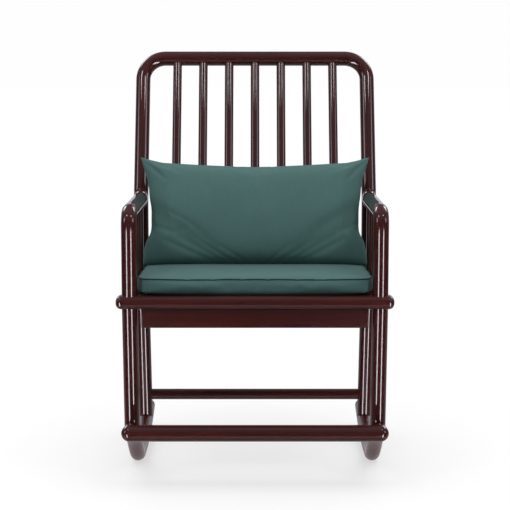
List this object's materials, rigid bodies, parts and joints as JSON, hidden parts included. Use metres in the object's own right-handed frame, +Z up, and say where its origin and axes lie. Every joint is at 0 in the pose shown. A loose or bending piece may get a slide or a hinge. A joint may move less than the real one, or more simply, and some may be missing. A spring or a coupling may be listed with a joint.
{
  "type": "rocking chair",
  "caption": "Round-rod hardwood rocking chair with a spindled hoop back, padded arms, a box seat cushion and a lumbar pillow on two curved rockers.",
  "frame": {"origin": "on the floor, under the middle of the chair's bounding box", "axes": "+Z up, the front of the chair faces -Y, +X to the sitter's left"},
  "size_m": [0.6204, 0.6134, 0.9717],
  "materials": {
    "lacquered_wood": "very dark reddish-brown high-gloss lacquer",
    "plain_wood": "stained, unpolished",
    "teal_fabric": "matte woven cloth",
    "pad_fabric": "matte dark cloth"
  },
  "bodies": {
    "frame": {"front_seat_rail": "lacquered_wood", "rear_seat_rail": "lacquered_wood", "side_seat_rail_left": "lacquered_wood", "side_seat_rail_right": "lacquered_wood", "front_apron": "lacquered_wood", "front_leg_left": "lacquered_wood", "front_leg_right": "lacquered_wood", "rear_leg_left": "lacquered_wood", "rear_leg_right": "lacquered_wood", "rear_stretcher": "lacquered_wood", "rocker_left": "lacquered_wood", "rocker_right": "lacquered_wood", "foot_rail": "lacquered_wood", "crest_rail": "lacquered_wood", "back_post_left": "lacquered_wood", "back_post_right": "lacquered_wood", "back_spindle_1": "lacquered_wood", "back_spindle_2": "lacquered_wood", "back_spindle_3": "lacquered_wood", "back_spindle_4": "lacquered_wood", "back_spindle_5": "lacquered_wood", "back_spindle_6": "lacquered_wood", "back_spindle_7": "lacquered_wood", "arm_left": "lacquered_wood", "arm_right": "lacquered_wood", "side_spindle_left_1": "lacquered_wood", "side_spindle_left_2": "lacquered_wood", "side_spindle_left_3": "lacquered_wood", "side_spindle_left_4": "lacquered_wood", "side_spindle_right_1": "lacquered_wood", "side_spindle_right_2": "lacquered_wood", "side_spindle_right_3": "lacquered_wood", "side_spindle_right_4": "lacquered_wood", "seat_cleat_left": "plain_wood", "seat_cleat_right": "plain_wood", "seat_slat_1": "plain_wood", "seat_slat_2": "plain_wood", "seat_slat_3": "plain_wood", "seat_slat_4": "plain_wood", "seat_slat_5": "plain_wood", "seat_slat_6": "plain_wood", "corner_block_front_left": "plain_wood", "corner_block_front_right": "plain_wood", "corner_block_rear_left": "plain_wood", "corner_block_rear_right": "plain_wood", "arm_pad_left": "pad_fabric", "arm_pad_right": "pad_fabric"},
    "seat_cushion": {"seat_cushion": "teal_fabric"},
    "lumbar_pillow": {"lumbar_pillow": "teal_fabric"}
  },
  "joints": [
    {"name": "seat_cushion_slide", "type": "slide", "parent": "frame", "child": "seat_cushion", "axis": [0, -0.9986, 0.0523], "range_m": [0, 0.25]},
    {"name": "lumbar_pillow_lift", "type": "slide", "parent": "frame", "child": "lumbar_pillow", "axis": [0, 0, 1], "range_m": [0, 0.3]}
  ]
}
